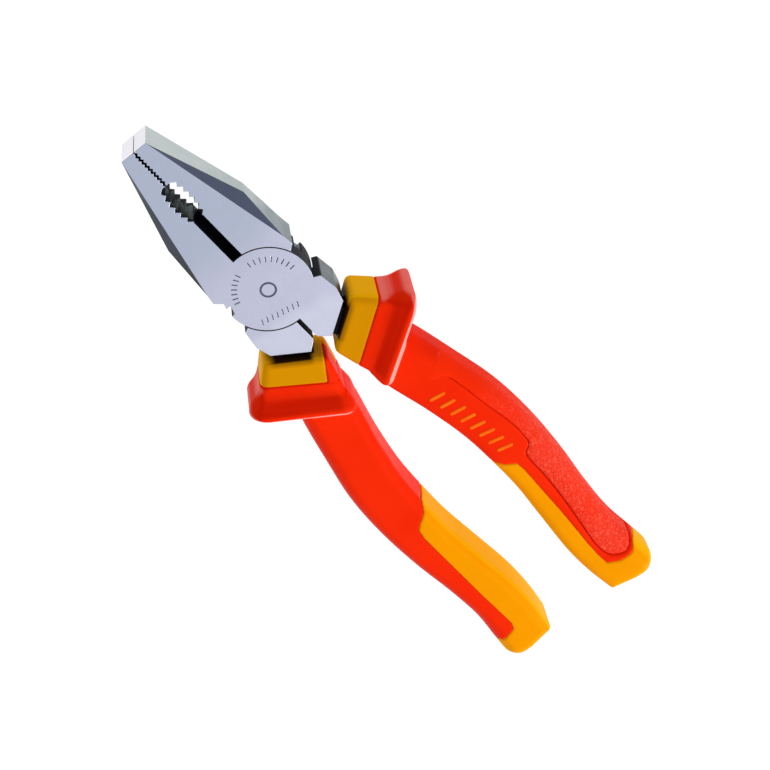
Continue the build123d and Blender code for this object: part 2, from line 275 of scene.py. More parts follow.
def handle_field(plan):
    side = outline_distance(handle_outline(), plan.x, plan.y)
    crown = CROWN * (1 - np.clip(-side / HALF_THICKNESS, 0, 1)) ** 2
    face = np.abs(plan.z) - (HALF_THICKNESS - crown)[..., None]
    from_inner = line_distance(smooth_curve(GRIP_INNER), plan.x, plan.y)
    from_outer = line_distance(smooth_curve(GRIP_OUTER), plan.x, plan.y)
    share = np.clip(2 * from_inner / (from_inner + from_outer) - 1, 0, 1)
    radius = EDGE_RADIUS + (OUTER_EDGE_RADIUS - EDGE_RADIUS) * share
    return rounded_box(side[..., None], face, radius[..., None])


def centre_line():
    middles = [((a + c) / 2, (b + d) / 2)
               for (a, b), (c, d) in zip(GRIP_INNER[1:-1], GRIP_OUTER[1:-1])]
    return smooth_curve(CORE_LINE_START + [p for p in middles if p[1] > TANG_END_Y])


def inset_field(plan):
    padded = outline_distance(np.array(INSET_PADDED), plan.x, plan.y)[..., None]
    plain = outline_distance(np.array(INSET_PLAIN), plan.x, plan.y)[..., None]
    share = np.clip(0.5 + plan.z / HALF_THICKNESS, 0, 1)
    return plain + (padded - plain) * share


def grip_fields():
    """The fields of the sleeve, outer grip and pad, and the grid they are on."""
    plan = Plan(GRID_LOW, GRID_HIGH, PITCH)
    at = section_position(plan)
    guard = guard_field(plan, at)
    whole = smooth_min(guard, handle_field(plan), GUARD_BLEND)

    line = line_distance(centre_line(), plan.x, plan.y)
    core = rounded_box((line - CORE_HALF_WIDTH)[..., None],
                       np.abs(plan.z) - CORE_HALF_THICKNESS, CORE_EDGE_RADIUS)
    tang = rounded_box((line - TANG_HALF_WIDTH)[..., None],
                       np.abs(plan.z) - TANG_HALF_THICKNESS, TANG_EDGE_RADIUS)
    strip = np.maximum(outline_distance(np.array(STRIP), plan.x, plan.y)[..., None],
                       plan.z - STRIP_TOP)
    collar = np.maximum(at["collar_end"][..., None], -strip)
    sleeve_zone = np.minimum(np.minimum(collar, inset_field(plan)), core)
    edge = np.vstack([smooth_curve(PAD_EDGE), PAD_BACK])
    pad_zone = np.maximum(outline_distance(edge, plan.x, plan.y)[..., None],
                          np.maximum(PAD_SIDE_LOW - plan.z, -PAD_DEPTH - whole))
    groove = np.interp(plan.y, *zip(*PAD_GROOVE))[..., None]
    lap = np.interp(plan.y, PAD_LAP_FADE, (0, 1))[..., None]
    sunk = PAD_LAP_SINK * lap * np.clip(-pad_zone / PAD_LAP_EDGE, 0, 1)

    sleeve = smooth_max(whole, sleeve_zone + SEAM_GAP, SEAM_ROUNDING)
    outer = smooth_max(whole, SEAM_GAP - sleeve_zone, SEAM_ROUNDING)
    return plan, {"sleeve": np.maximum(sleeve, TANG_CLEARANCE - tang),
                  "grip": smooth_max(outer + sunk, SEAM_GAP - pad_zone - PAD_LAP * lap, groove),
                  "pad": smooth_max(outer, pad_zone + SEAM_GAP, groove)}


def bar_field():
    """One raised bar, lying along X with its foot at z = 0."""
    half = (BAR_LENGTH / 2 + BAR_MARGIN, BAR_WIDTH / 2 + BAR_MARGIN)
    plan = Plan((-half[0], -half[1], -BAR_MARGIN), (*half, BAR_HEIGHT + BAR_MARGIN), BAR_PITCH)
    reach = (BAR_LENGTH - BAR_WIDTH) / 2
    side = np.hypot(np.maximum(np.abs(plan.x) - reach, 0), plan.y) - BAR_WIDTH / 2
    face = np.abs(plan.z - BAR_HEIGHT / 2) - BAR_HEIGHT / 2
    return plan, rounded_box(side[..., None], face, BAR_EDGE)


# ---- meshing ------------------------------------------------------------------------
RELAX_ROUNDS = 4
RELAX_SHARE = 0.5            # of a corner's way to the mean of its neighbours
RETURN_ROUNDS = 2            # of putting the corners back, after each
RETURN_LIMIT = 0.5           # in grid steps


def sample(field, places):
    """The field between grid points, at places counted in grid steps."""
    base = np.clip(places.astype(int), 0, np.array(field.shape) - 2)
    t = places - base
    value = np.zeros(len(places))
    for corner in np.ndindex(2, 2, 2):
        weight = np.prod(np.where(corner, t, 1 - t), axis=1)
        value += weight * field[tuple((base + corner).T)]
    return value


def gradient(field, places):
    """The field's rise per grid step along each axis."""
    step = 0.5
    rise = [sample(field, places + e) - sample(field, places - e) for e in np.eye(3) * step]
    return np.stack(rise, 1) / (2 * step)


def surface_net(field):
    """Corners, in grid steps, and four-sided faces of the field's zero surface."""
    inside = field < 0
    cell_shape = np.array(field.shape) - 1
    owners, crossings, loops = [], [], []
    for axis in range(3):
        first, second = (axis + 1) % 3, (axis + 2) % 3
        low = np.take(inside, range(field.shape[axis] - 1), axis)
        high = np.take(inside, range(1, field.shape[axis]), axis)
        at = np.argwhere(low != high)
        nxt = at + np.eye(3, dtype=int)[axis]
        f0, f1 = field[tuple(at.T)], field[tuple(nxt.T)]
        point = at.astype(float)
        point[:, axis] += f0 / (f0 - f1)
        ring = []
        for back_first, back_second in ((1, 1), (0, 1), (0, 0), (1, 0)):
            cell = at.copy()
            cell[:, first] -= back_first
            cell[:, second] -= back_second
            ring.append(np.ravel_multi_index(cell.T, cell_shape))
            owners.append(ring[-1])
            crossings.append(point)
        ring = np.stack(ring, 1)
        loops.append(np.where((f0 < 0)[:, None], ring, ring[:, ::-1]))
    cells, number = np.unique(np.concatenate(owners), return_inverse=True)
    points = np.concatenate(crossings)
    count = np.bincount(number)
    corners = np.stack([np.bincount(number, points[:, i]) / count for i in range(3)], 1)
    faces = np.searchsorted(cells, np.concatenate(loops))
    return relaxed(field, corners, faces), faces


def relaxed(field, corners, faces):
    """Evens the corners out over the surface and puts each back on it."""
    a = faces.ravel()
    b = np.roll(faces, -1, axis=1).ravel()
    ends, others = np.concatenate([a, b]), np.concatenate([b, a])
    count = np.bincount(ends, minlength=len(corners))[:, None]
    for _ in range(RELAX_ROUNDS):
        mean = np.stack([np.bincount(ends, corners[others, i], len(corners))
                         for i in range(3)], 1) / count
        corners = corners + (mean - corners) * RELAX_SHARE
        for _ in range(RETURN_ROUNDS):
            slope = gradient(field, corners)
            steep = np.maximum((slope ** 2).sum(1), 1e-6)
            move = slope * (sample(field, corners) / steep)[:, None]
            corners = corners - np.clip(move, -RETURN_LIMIT, RETURN_LIMIT)
    return corners


def meshed(plan, field):
    """Corners in millimetres, and faces."""
    corners, faces = surface_net(field)
    return corners * plan.pitch + plan.low, faces


def other_lever(corners):
    return corners * (-1, 1, -1)


def add_piece(name, corners, faces, body, node, material):
    """One grip piece as an object that stands for its CAD node."""
    mesh = bpy.data.meshes.new(name)
    places = (corners + (0, 0, MID_Z)) * MM
    mesh.from_pydata(places.tolist(), [], faces.tolist())
    mesh.polygons.foreach_set("use_smooth", np.ones(len(faces), bool))
    mesh.materials.append(material)
    piece = bpy.data.objects.new(name, mesh)
    bpy.context.scene.collection.objects.link(piece)
    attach(piece, body)
    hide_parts(node)
    return piece


def bar_meshes():
    """The row of slanted bars on the right grip's padded face."""
    corners, faces = meshed(*bar_field())
    row = smooth_curve(BAR_ROW, 30)
    reach = np.concatenate([[0], np.cumsum(np.linalg.norm(np.diff(row, axis=0), axis=1))])
    placed, joined = [], []
    for i in range(BAR_COUNT):
        along = reach[-1] * i / (BAR_COUNT - 1)
        x, y = (np.interp(along, reach, row[:, k]) for k in (0, 1))
        ahead, behind = (np.interp(along + d, reach, row[:, 0]) for d in (0.5, -0.5))
        rise, fall = (np.interp(along + d, reach, row[:, 1]) for d in (0.5, -0.5))
        angle = math.atan2(rise - fall, ahead - behind) + math.radians(90 - BAR_SLANT)
        turn = np.array(Matrix.Rotation(angle, 3, "Z"))
        placed.append(corners @ turn.T + (x, y, HALF_THICKNESS - BAR_SINK))
        joined.append(faces + i * len(corners))
    return np.vstack(placed), np.vstack(joined)


# ---- material helpers -----------------------------------------------------------------
def srgb(red, green, blue):
    """A colour given in screen values, as the linear values that shaders take."""
    parts = [v / 255 for v in (red, green, blue)]
    return [v / 12.92 if v <= 0.04045 else ((v + 0.055) / 1.055) ** 2.4 for v in parts] + [1.0]


class Graph:
    """Short names for the shader nodes that the materials are made of."""

    def __init__(self, material):
        material.use_nodes = True
        self.tree = material.node_tree
        self.tree.nodes.clear()
        self.coords = self.add("ShaderNodeTexCoord")
        in_millimetres = {0: self.coords.outputs["Object"], "Scale": 1 / MM}
        self.place = self.add("ShaderNodeVectorMath", in_millimetres, operation="SCALE").outputs[0]

    def add(self, kind, inputs=None, **settings):
        """A node. Each input is another node's output, or else a constant."""
        made = self.tree.nodes.new(kind)
        for key, value in settings.items():
            setattr(made, key, value)
        for key, value in (inputs or {}).items():
            if isinstance(value, bpy.types.NodeSocket):
                self.tree.links.new(value, made.inputs[key])
            else:
                made.inputs[key].default_value = value
        return made

    def place_xyz(self):
        """The point's own place, in millimetres."""
        return self.add("ShaderNodeSeparateXYZ", {0: self.place}).outputs

    def normal_xyz(self):
        return self.add("ShaderNodeSeparateXYZ", {0: self.coords.outputs["Normal"]}).outputs

    def math(self, operation, a, b=0.0):
        return self.add("ShaderNodeMath", {0: a, 1: b}, operation=operation).outputs[0]

    def ramp(self, value, low, high, to_low=0.0, to_high=1.0):
        """Runs smoothly from to_low, where the value is low, to to_high, where it's high."""
        return self.add("ShaderNodeMapRange", {"Value": value, "From Min": low, "From Max": high,
                                               "To Min": to_low, "To Max": to_high},
                        interpolation_type="SMOOTHSTEP").outputs["Result"]

    def all_of(self, first, *others):
        for other in others:
            first = self.math("MULTIPLY", first, other)
        return first

    def any_of(self, first, *others):
        for other in others:
            first = self.math("MAXIMUM", first, other)
        return first

    def mix(self, share, a, b):
        return self.add("ShaderNodeMix", {0: share, 6: a, 7: b}, data_type="RGBA").outputs[2]

    def mix_vector(self, share, a, b):
        return self.add("ShaderNodeMix", {0: share, 4: a, 5: b}, data_type="VECTOR").outputs[1]

    def noise(self, scale, detail=3.0, stretch=(1, 1, 1)):
        """Noise over the point's own place; scale is per millimetre."""
        place = self.add("ShaderNodeVectorMath", {0: self.place, 1: stretch}, operation="MULTIPLY")
        return self.add("ShaderNodeTexNoise", {"Vector": place.outputs[0], "Scale": scale,
                                               "Detail": detail, "Roughness": 0.55}).outputs[0]

    def cells(self, scale, feature="F1"):
        return self.add("ShaderNodeTexVoronoi", {"Vector": self.place, "Scale": scale},
                        feature=feature).outputs["Distance"]

    def bump(self, height, strength, distance, normal=None):
        """A surface normal; distance is in millimetres."""
        inputs = {"Height": height, "Strength": strength, "Distance": distance * MM}
        if normal is not None:
            inputs["Normal"] = normal
        return self.add("ShaderNodeBump", inputs).outputs[0]

    def finish(self, **inputs):
        shader = self.add("ShaderNodeBsdfPrincipled",
                          {key.replace("_", " "): value for key, value in inputs.items()})
        self.add("ShaderNodeOutputMaterial", {"Surface": shader.outputs[0]})


# ---- steel ----------------------------------------------------------------------------
JAW_TOP = srgb(166, 173, 189)
DISC_TOP = srgb(184, 184, 201)
NECK_TOP = srgb(194, 195, 209)
# painted reflection: the nose faces near white
NOSE_FACE = srgb(236, 234, 240)
# painted light and shade: the upright faces light at the nose, dark at the neck
SIDE_TONES = [(46.0, srgb(184, 192, 191)), (24.0, srgb(166, 175, 174)),      # at Y
              (11.0, srgb(126, 138, 142)), (-8.0, srgb(84, 94, 98))]
# painted dark reflection and shade on the jaw bevels, darkest at the left heel
RIGHT_BEVEL = srgb(84, 91, 111)
RIGHT_BEVEL_NOSE = srgb(92, 98, 114)
LEFT_BEVEL_HEEL = srgb(36, 38, 44)
LEFT_BEVEL = srgb(52, 56, 66)
LEFT_BEVEL_NOSE = srgb(84, 88, 94)
# painted shade: near-black for the steel in gaps and recesses
STEEL_DARK = srgb(16, 18, 26)
# painted light and shade: the pale and grey bands of the flutes
FLUTE_PALE = srgb(108, 118, 118)
FLUTE_GREY = srgb(32, 38, 42)
SCRATCH = srgb(120, 124, 140)
ENGRAVED = srgb(92, 94, 108)

# Where one tone of the upper faces and bevels passes into the next, along Y.
JAW_TO_DISC = (24.0, 2.0)
DISC_TO_NECK = (-9.0, -14.0)
BEVEL_TO_NOSE = (36.0, 50.0)
BEVEL_FROM_HEEL = (17.0, 26.0)
TONE_WANDER = 3.0            # of those limits, to and fro
SCRATCH_SHARE = 0.12
DARK_SHARE = 0.97
STEEL_ROUGHNESS = (0.30, 0.40)
DARK_ROUGHNESS = 0.65
STEEL_EDGE = 0.2             # rounding that the edges seem to have

# Limits of the head's zones. Each pair runs from where a mask is 0 to where it is 1.
# X is without its sign but for RIGHT_X, heights are from mid-thickness, and the
# engraving's depths are from the top.
RIGHT_X = (-0.1, 0.1)        # with each face seen from its own side
JAW_Y = (5.0, 6.0)
NOSE_Y = (50.0, 50.5)
RIVET_RADIUS = (6.2, 5.9)
FLUTE_X, FLUTE_REAR_Y, FLUTE_FRONT_Y = (4.0, 3.8), (27.1, 27.3), (39.4, 39.2)
PIPE_HOLE_MIDDLE_Y = 33.25
PIPE_HOLE_REACH = 5.95       # along Y, where the hole's bulge has fallen by 1 mm
PIPE_HOLE_X = 2.3
PIPE_HOLE_SLANT = 1.5        # of the edge of the shade in it, height against X
PIPE_HOLE_SHADE = (4.5, 4.9)
ENGRAVED_FROM, ENGRAVED_TO = (0.02, 0.10), (0.22, 0.17)
ENGRAVED_RADIUS = (11.2, 11.0)
DISC_WALL_OUTSIDE, DISC_WALL_INSIDE = (14.6, 14.2), (11.6, 11.8)
DISC_WALL_END_LEFT = 8.2     # the Y up to which those walls are dark
DISC_WALL_END_RIGHT = 13.7
LAP_RADIUS, LAP_HEIGHT = (13.6, 13.2), (0.6, 0.4)
SLOT_X, SLOT_REAR_Y, SLOT_FRONT_Y = (1.72, 1.62), (3.0, 3.2), (27.6, 27.2)
TEETH_X, TEETH_REAR_Y, TEETH_FRONT_Y = (0.75, 0.65), (39.0, 39.3), (50.9, 50.7)
NECK_X, NECK_Y = (0.9, 0.8), (-3.0, -4.0)
BEHIND_NECK_Y = (-14.0, -15.0)
TANG_HEIGHT, TANG_Y = (3.6, 3.4), (-14.0, -15.5)

# Limits of the surface normal's Z, without its sign, and of its Y.
UPRIGHT = (0.25, 0.05)
LEVEL, NOT_LEVEL = (0.9, 0.95), (0.99, 0.97)
BEVEL_FLATTEST, BEVEL_STEEPEST = (0.92, 0.86), (0.4, 0.55)
FACING_FRONT, FACING_REAR, TURNED_FROM_FRONT = (0.85, 0.95), (-0.3, -0.5), (0.15, -0.15)


def steel_masks(g):
    """Where a point of the head lies, as values from 0 to 1."""
    x, y, z = g.place_xyz()
    _, ny, nz = g.normal_xyz()
    side_x = g.math("ABSOLUTE", x)
    above = g.math("SIGN", g.math("SUBTRACT", z, MID_Z))
    right = g.ramp(g.math("MULTIPLY", x, above), *RIGHT_X)
    flat = g.math("ABSOLUTE", nz)
    off_middle = g.math("ABSOLUTE", g.math("SUBTRACT", z, MID_Z))
    radius = g.math("SQRT", g.math("ADD", g.math("MULTIPLY", x, x), g.math("MULTIPLY", y, y)))
    upright = g.ramp(flat, *UPRIGHT)
    rivet_top = g.all_of(g.ramp(radius, *RIVET_RADIUS), g.ramp(flat, *LEVEL))
    nose = g.all_of(g.ramp(ny, *FACING_FRONT), g.ramp(y, *NOSE_Y))
    bevel = g.all_of(g.ramp(flat, *BEVEL_FLATTEST), g.ramp(flat, *BEVEL_STEEPEST),
                     g.ramp(y, *JAW_Y))
    flutes = g.all_of(g.ramp(side_x, *FLUTE_X), g.ramp(y, *FLUTE_REAR_Y),
                      g.ramp(y, *FLUTE_FRONT_Y), upright)
    from_centre = g.math("DIVIDE", g.math("SUBTRACT", y, PIPE_HOLE_MIDDLE_Y), PIPE_HOLE_REACH)
    opening = g.math("SUBTRACT", PIPE_HOLE_X, g.math("MULTIPLY", from_centre, from_centre))
    depth = g.math("MULTIPLY", g.math("SUBTRACT", side_x, opening), PIPE_HOLE_SLANT)
    notch = g.ramp(g.math("ADD", depth, off_middle), *PIPE_HOLE_SHADE)
    # Painted shade on flute walls that turn from the front and in the notches near the top.
    flute_dark = g.any_of(g.ramp(ny, *TURNED_FROM_FRONT), notch)
    engraved = g.all_of(g.ramp(z, *(2 * MID_Z - d for d in ENGRAVED_FROM)),
                        g.ramp(z, *(2 * MID_Z - d for d in ENGRAVED_TO)),
                        g.ramp(radius, *ENGRAVED_RADIUS))
    walls_end = g.math("ADD", g.math("MULTIPLY", right, DISC_WALL_END_RIGHT - DISC_WALL_END_LEFT),
                       DISC_WALL_END_LEFT)
    disc_walls = g.all_of(upright, g.ramp(radius, *DISC_WALL_OUTSIDE),
                          g.ramp(radius, *DISC_WALL_INSIDE),
                          g.ramp(g.math("SUBTRACT", y, walls_end), 0.4, 0.0))
    lap = g.all_of(g.ramp(radius, *LAP_RADIUS), g.ramp(off_middle, *LAP_HEIGHT))
    slot = g.all_of(g.ramp(side_x, *SLOT_X), g.ramp(y, *SLOT_REAR_Y), g.ramp(y, *SLOT_FRONT_Y),
                    g.ramp(flat, *NOT_LEVEL))
    teeth = g.all_of(g.ramp(side_x, *TEETH_X), g.ramp(y, *TEETH_REAR_Y),
                     g.ramp(y, *TEETH_FRONT_Y), upright)
    neck = g.all_of(g.ramp(side_x, *NECK_X), g.ramp(y, *NECK_Y), upright)
    behind = g.all_of(upright, g.ramp(ny, *FACING_REAR), g.ramp(y, *BEHIND_NECK_Y))
    tang = g.all_of(g.ramp(off_middle, *TANG_HEIGHT), g.ramp(y, *TANG_Y))
    return {"upright": upright, "y": y, "right": right, "rivet_top": rivet_top, "nose": nose,
            "bevel": bevel, "flutes": flutes, "flute_dark": flute_dark, "engraved": engraved,
            "dark": g.any_of(disc_walls, lap, slot, teeth, neck, behind, tang)}


def steel_material(name):
    """Ground steel: tones per zone that are mostly painted reflection and shade, long fine
    scratches, and painted shade in its gaps and recesses.
    """
    material = bpy.data.materials.new(name)
    g = Graph(material)
    m = steel_masks(g)
    clouds = g.ramp(g.noise(0.055, detail=2.0, stretch=(1, 0.6, 1)), 0.3, 0.7,
                    to_low=-TONE_WANDER, to_high=TONE_WANDER)
    along = g.math("ADD", m["y"], clouds)
    colour = g.mix(g.ramp(along, *JAW_TO_DISC), JAW_TOP, DISC_TOP)
    colour = g.mix(g.ramp(along, *DISC_TO_NECK), colour, NECK_TOP)
    # Painted light and shade: the upright faces light at the nose, dark at the neck.
    side = SIDE_TONES[0][1]
    for (high, _), (low, tone) in zip(SIDE_TONES, SIDE_TONES[1:]):
        side = g.mix(g.ramp(along, high, low), side, tone)
    colour = g.mix(m["upright"], colour, side)
    # Painted reflection: the nose faces near white.
    colour = g.mix(m["nose"], colour, NOSE_FACE)
    # Painted dark reflection and shade on the bevels, lighter toward the nose and darkest at the
    # left heel.
    toward_nose = g.ramp(along, *BEVEL_TO_NOSE)
    left_bevel = g.mix(g.ramp(along, *BEVEL_FROM_HEEL), LEFT_BEVEL_HEEL, LEFT_BEVEL)
    bevel = g.mix(m["right"], g.mix(toward_nose, left_bevel, LEFT_BEVEL_NOSE),
                  g.mix(toward_nose, RIGHT_BEVEL, RIGHT_BEVEL_NOSE))
    colour = g.mix(m["bevel"], colour, bevel)
    scratches = g.noise(1.1, detail=5.0, stretch=(6, 0.5, 1))
    colour = g.mix(g.ramp(scratches, 0.2, 0.8, to_high=SCRATCH_SHARE), colour, SCRATCH)
    # Painted light and shade: the flutes' pale and grey bands.
    waves = g.ramp(g.noise(0.9, detail=2.0, stretch=(0.2, 1.0, 0.2)), 0.4, 0.6)
    colour = g.mix(m["flutes"], colour, g.mix(waves, FLUTE_PALE, FLUTE_GREY))
    colour = g.mix(m["engraved"], colour, ENGRAVED)
    # Painted shade: near-black in the slot, between the teeth, between and behind the necks and on
    # the tang; on the disc walls and the joint between the discs it is partly black oxide.
    dark = g.any_of(m["dark"], g.all_of(m["flutes"], m["flute_dark"]))
    colour = g.mix(g.math("MULTIPLY", dark, DARK_SHARE), colour, STEEL_DARK)

    rough = g.ramp(g.noise(0.25, detail=4.0), 0.3, 0.7, *STEEL_ROUGHNESS)
    matt = g.math("MULTIPLY", g.any_of(dark, m["flutes"]), DARK_ROUGHNESS)
    rough = g.math("MAXIMUM", rough, matt)
    rounded = g.add("ShaderNodeBevel", {"Radius": STEEL_EDGE * MM}, samples=6).outputs[0]
    rounded = g.mix_vector(m["rivet_top"], rounded, g.coords.outputs["Normal"])
    brushed = g.noise(2.2, detail=4.0, stretch=(5, 0.35, 1.5))
    bumped = g.bump(brushed, strength=0.12, distance=0.02, normal=rounded)
    pits = g.ramp(g.cells(0.8), 0.0, 0.12)
    bumped = g.bump(pits, strength=0.05, distance=0.02, normal=bumped)
    g.finish(Base_Color=colour, Metallic=1.0, Roughness=rough, Normal=bumped)
    return material


# ---- plastics ---------------------------------------------------------------------------
RED = srgb(240, 42, 7)
RED_DEEP = srgb(222, 24, 1)
RED_SHADE = srgb(196, 14, 0)
RED_GLOSS = (1.0, 0.42, 0.34, 1.0)
# painted highlight on the finger guard's rim
RIM_PALE = srgb(255, 170, 160)
YELLOW = srgb(240, 149, 0)
YELLOW_DEEP = srgb(222, 134, 0)
# painted shade: the collar darker than the sleeve behind it
YELLOW_COLLAR = srgb(212, 140, 2)
# painted light: the upright sides lighter than the faces
YELLOW_SIDE = srgb(244, 172, 2)
YELLOW_GLOSS = (1.0, 0.82, 0.45, 1.0)
PAD_RED = srgb(240, 64, 42)
PAD_PALE = srgb(255, 120, 96)
BAR_ORANGE = srgb(246, 98, 10)
DUST = srgb(255, 196, 160)
# painted shadow where the steel neck enters the collar
COLLAR_SHADOW = srgb(40, 20, 6)

# Limits along Y, again from where a mask is 0 to where it is 1.
HANDLE_Y = (-36.0, -44.0)
GUARD_REAR_Y = (-46.0, -44.0)
SLOPE_REAR_Y, SLOPE_FRONT_Y = (-49.5, -48.0), (-24.0, -26.0)
GUARD_CORNER_Y = (-30.0, -27.0)
COLLAR_Y = (-50.0, -45.0)
PAD_GRAIN_Y = (-58.0, -88.0)

REARWARD = (0.59, -0.81)     # the way that the guard's rear slope faces, outward and Y
NECK_END = ((12.5, -15.7), (3.6, -22.0))     # the steel neck's rear edge, right lever
# Painted shadow on the collar behind the neck's rear edge: near-black close by, fading brown
# further back.
SHADOW_REACH = (2.3, 1.7)     # behind that edge
SHADOW_FADE, SHADOW_FADE_SHARE = (3.8, 2.2), 0.4
SHADOW_INNER, SHADOW_OUTER = (-1.2, 0.6), (1.7, -1.4)     # past that edge's ends


def shadow_beside_neck(g):
    """Painted shadow near the steel, where the neck enters the collar's front edge."""
    (ax, ay), (bx, by) = NECK_END
    length = math.hypot(ax - bx, ay - by)
    normal = Vector(((ay - by) / length, (bx - ax) / length, 0.0))
    x, y, _ = g.place_xyz()
    across = g.math("ADD", g.math("MULTIPLY", g.math("ABSOLUTE", x), normal.x),
                    g.math("MULTIPLY", y, normal.y))
    behind = g.math("SUBTRACT", across, normal.x * ax + normal.y * ay)
    beside = g.math("ADD", g.math("MULTIPLY", g.math("ABSOLUTE", x), -normal.y),
                    g.math("MULTIPLY", y, normal.x))
    beside = g.math("SUBTRACT", beside, -normal.y * bx + normal.x * by)
    close = g.any_of(g.ramp(behind, *SHADOW_REACH),
                     g.ramp(behind, *SHADOW_FADE, to_high=SHADOW_FADE_SHARE))
    return g.all_of(close, g.ramp(beside, *SHADOW_INNER),
                    g.ramp(beside, *(length + past for past in SHADOW_OUTER)))


def plastic_shader(g, base, gloss, grain, specular, roughness):
    """Fine grain, scuffs and dust over a base colour."""
    base = g.mix(g.ramp(g.noise(1.6, detail=4.0), 0.64, 0.85, to_high=0.06), base, DUST)
    scuffs = g.ramp(g.noise(0.35, detail=5.0, stretch=(1.0, 3.0, 1.0)), 0.6, 0.8)
    rough = g.math("ADD", g.ramp(g.noise(0.4), 0.3, 0.7, roughness - 0.04, roughness + 0.05),
                   g.math("MULTIPLY", scuffs, 0.10))
    bumped = g.bump(g.noise(3.2), strength=grain, distance=0.05)
    bumped = g.bump(g.noise(0.3), strength=0.06, distance=0.3, normal=bumped)
    g.finish(Base_Color=base, Roughness=rough, Normal=bumped, Specular_IOR_Level=specular,
             Specular_Tint=gloss)


def clouded(g, base, other, scale=0.05, share=0.3):
    """A base colour that drifts toward another in soft clouds."""
    return g.mix(g.ramp(g.noise(scale), 0.35, 0.75, to_high=share), base, other)


def facing_outward(g, x, nx):
    """How far the surface faces away from the other handle, from -1 to 1."""
    return g.math("MULTIPLY", nx, g.math("SIGN", x))


def palm_side_shade(g):
    """Where the side that lies in the palm is painted darker: painted shade."""
    x, y, _ = g.place_xyz()
    outward = facing_outward(g, x, g.normal_xyz()[0])
    return g.all_of(g.ramp(outward, 0.5, 0.95, to_high=0.3), g.ramp(y, *HANDLE_Y))


def guard_trough_shade(g):
    """Where the finger guard's hollow front slope is painted darker: painted shade."""
    y = g.place_xyz()[1]
    _, ny, nz = g.normal_xyz()
    return g.all_of(g.ramp(ny, 0.25, 0.5), g.ramp(g.math("ABSOLUTE", nz), 0.6, 0.8),
                    g.ramp(y, *GUARD_REAR_Y), 0.5)


def rim_highlight(g):
    """Painted highlights on the finger guard: its rear slope and outer front corner."""
    x, y, _ = g.place_xyz()
    nx, ny, nz = g.normal_xyz()
    outward = facing_outward(g, x, nx)
    rearward = g.math("ADD", g.math("MULTIPLY", ny, REARWARD[1]),
                      g.math("MULTIPLY", outward, REARWARD[0]))
    slope = g.all_of(g.ramp(rearward, 0.38, 0.62), g.ramp(g.math("ABSOLUTE", nz), 0.15, 0.4),
                     g.ramp(y, *SLOPE_REAR_Y), g.ramp(y, *SLOPE_FRONT_Y), 0.75)
    corner = g.all_of(g.ramp(outward, 0.3, 0.6), g.ramp(ny, 0.1, 0.35),
                      g.ramp(y, *GUARD_CORNER_Y), 0.35)
    return g.any_of(slope, corner)


def red_material():
    material = bpy.data.materials.new("grip_red")
    g = Graph(material)
    base = clouded(g, RED, RED_DEEP)
    # Painted shade on the side that lies in the palm.
    base = g.mix(palm_side_shade(g), base, RED_SHADE)
    # Painted shade in the finger guard's trough.
    base = g.mix(guard_trough_shade(g), base, RED_SHADE)
    # Painted highlights on the finger guard's rear slope and outer front corner.
    base = g.mix(rim_highlight(g), base, RIM_PALE)
    plastic_shader(g, base, RED_GLOSS, grain=0.10, specular=0.012, roughness=0.34)
    return material


def yellow_material():
    material = bpy.data.materials.new("sleeve_yellow")
    g = Graph(material)
    base = clouded(g, YELLOW, YELLOW_DEEP)
    # Painted shade: the collar darker than the sleeve behind it.
    base = g.mix(g.ramp(g.place_xyz()[1], *COLLAR_Y), base, YELLOW_COLLAR)
    # Painted light: the upright sides lighter than the faces.
    flat = g.math("ABSOLUTE", g.normal_xyz()[2])
    base = g.mix(g.ramp(flat, 0.75, 0.35), base, YELLOW_SIDE)
    # Painted shadow on the collar's front beside the steel neck.
    base = g.mix(shadow_beside_neck(g), base, COLLAR_SHADOW)
    plastic_shader(g, base, YELLOW_GLOSS, grain=0.10, specular=0.008, roughness=0.38)
    return material


def bar_material():
    material = bpy.data.materials.new("bar_orange")
    g = Graph(material)
    base = clouded(g, BAR_ORANGE, YELLOW, scale=0.2, share=0.25)
    plastic_shader(g, base, YELLOW_GLOSS, grain=0.08, specular=0.05, roughness=0.35)
    return material


def pad_material():
    """Soft grip pad: leather-like grain, stronger toward the tip."""
    material = bpy.data.materials.new("pad_rubber")
    g = Graph(material)
    toward_tip = g.ramp(g.place_xyz()[1], *PAD_GRAIN_Y)
    creases = g.ramp(g.cells(0.8, "DISTANCE_TO_EDGE"), 0.0, 0.18)
    fine = g.noise(1.2, stretch=(1.0, 0.5, 1.0))
    pebbles = g.math("ADD", g.math("MULTIPLY", creases, 0.8), g.math("MULTIPLY", fine, 0.6))
    pale = g.ramp(g.noise(0.06), 0.3, 0.7, to_low=0.4)
    spots = g.ramp(fine, 0.5, 0.7, to_high=0.4)
    # Painted shade: the pad darker in its creases.
    deep = g.ramp(creases, 1.0, 0.0, to_high=0.4)
    base = RED
    for share, colour in ((pale, PAD_RED), (spots, PAD_PALE), (deep, RED_DEEP)):
        base = g.mix(g.math("MULTIPLY", share, toward_tip), base, colour)
    bumped = g.bump(pebbles, strength=g.math("MULTIPLY", toward_tip, 0.6), distance=0.22)
    rough = g.ramp(g.noise(0.8, detail=4.0), 0.3, 0.7, to_low=0.40, to_high=0.50)
    g.finish(Base_Color=base, Roughness=rough, Normal=bumped, Specular_IOR_Level=0.012,
             Specular_Tint=RED_GLOSS)
    return material


# ---- stage, lights and camera --------------------------------------------------------------
CAMERA_PLACE = (0.110284, 0.166048, 0.374852)
CAMERA_RIGHT = (0.78239, -0.61019, 0.12466)
CAMERA_UP = (0.57306, 0.62695, -0.52777)
CAMERA_BACK = (0.24389, 0.48436, 0.84019)
CAMERA_LENS = 74.366
CAMERA_SENSOR = 36.0
CAMERA_CLIP = (0.01, 20.0)

